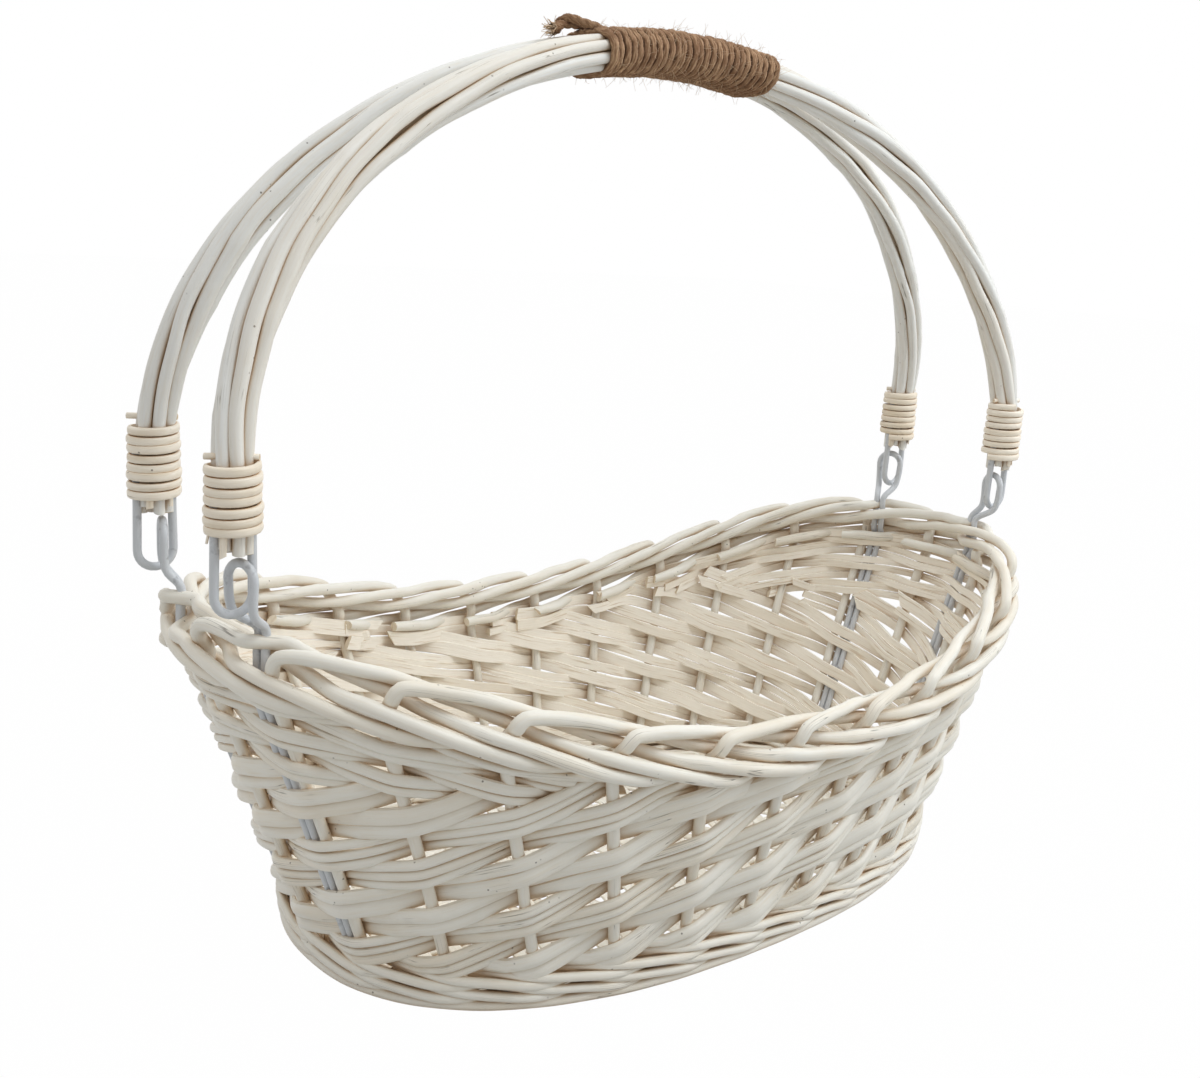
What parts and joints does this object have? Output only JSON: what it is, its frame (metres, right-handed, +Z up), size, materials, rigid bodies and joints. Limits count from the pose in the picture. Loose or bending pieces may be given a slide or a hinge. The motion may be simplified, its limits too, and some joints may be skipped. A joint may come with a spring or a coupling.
{
  "type": "willow basket",
  "caption": "Oval saddle-rimmed willow basket with an open randed wall, a turned-down rod border and an arched handle linked on by wire eyes, bound with cane and jute.",
  "frame": {"origin": "on the floor under the middle of the basket", "axes": "+X along the length towards the right-hand end, +Y towards the rear long side, +Z up"},
  "size_m": [0.418, 0.2254, 0.3473],
  "materials": {
    "willow_rods": "white-washed peeled willow, satin",
    "willow_weave": "white-washed split willow, matt, cream where the wash is thin",
    "cane": "split cane, satin",
    "wire": "light grey coated steel wire, satin",
    "jute": "natural jute twine, rough and hairy"
  },
  "bodies": {
    "basket": {"stake_1": "willow_rods", "stake_2": "willow_rods", "stake_3": "willow_rods", "stake_4": "willow_rods", "stake_5": "willow_rods", "stake_6": "willow_rods", "stake_7": "willow_rods", "stake_8": "willow_rods", "stake_9": "willow_rods", "stake_10": "willow_rods", "stake_11": "willow_rods", "stake_12": "willow_rods", "stake_13": "willow_rods", "stake_14": "willow_rods", "stake_15": "willow_rods", "stake_16": "willow_rods", "stake_17": "willow_rods", "stake_18": "willow_rods", "stake_19": "willow_rods", "stake_20": "willow_rods", "stake_21": "willow_rods", "stake_22": "willow_rods", "stake_23": "willow_rods", "stake_24": "willow_rods", "stake_25": "willow_rods", "stake_26": "willow_rods", "base_mat": "willow_weave", "wale": "willow_weave", "weaver_1": "willow_weave", "weaver_2": "willow_weave", "weaver_3": "willow_weave", "weaver_4": "willow_weave", "weaver_5": "willow_weave", "weaver_6": "willow_weave", "weaver_7": "willow_weave", "weaver_8": "willow_weave", "packing_right": "willow_weave", "packing_left": "willow_weave", "basket_eye_front_left": "wire", "basket_eye_rear_left": "wire", "basket_eye_front_right": "wire", "basket_eye_rear_right": "wire"},
    "handle": {"handle_rod_front_1": "willow_rods", "handle_rod_front_2": "willow_rods", "handle_rod_front_3": "willow_rods", "handle_rod_front_4": "willow_rods", "handle_rod_rear_1": "willow_rods", "handle_rod_rear_2": "willow_rods", "handle_rod_rear_3": "willow_rods", "handle_rod_rear_4": "willow_rods", "handle_loop_front_left": "wire", "handle_loop_rear_left": "wire", "handle_loop_front_right": "wire", "handle_loop_rear_right": "wire", "cane_binding_front_left": "cane", "cane_binding_rear_left": "cane", "cane_binding_front_right": "cane", "cane_binding_rear_right": "cane", "jute_binding": "jute"}
  },
  "joints": [
    {"name": "handle_lift", "type": "slide", "parent": "basket", "child": "handle", "axis": [0, 0, 1], "range_m": [0, 0.0115]}
  ]
}
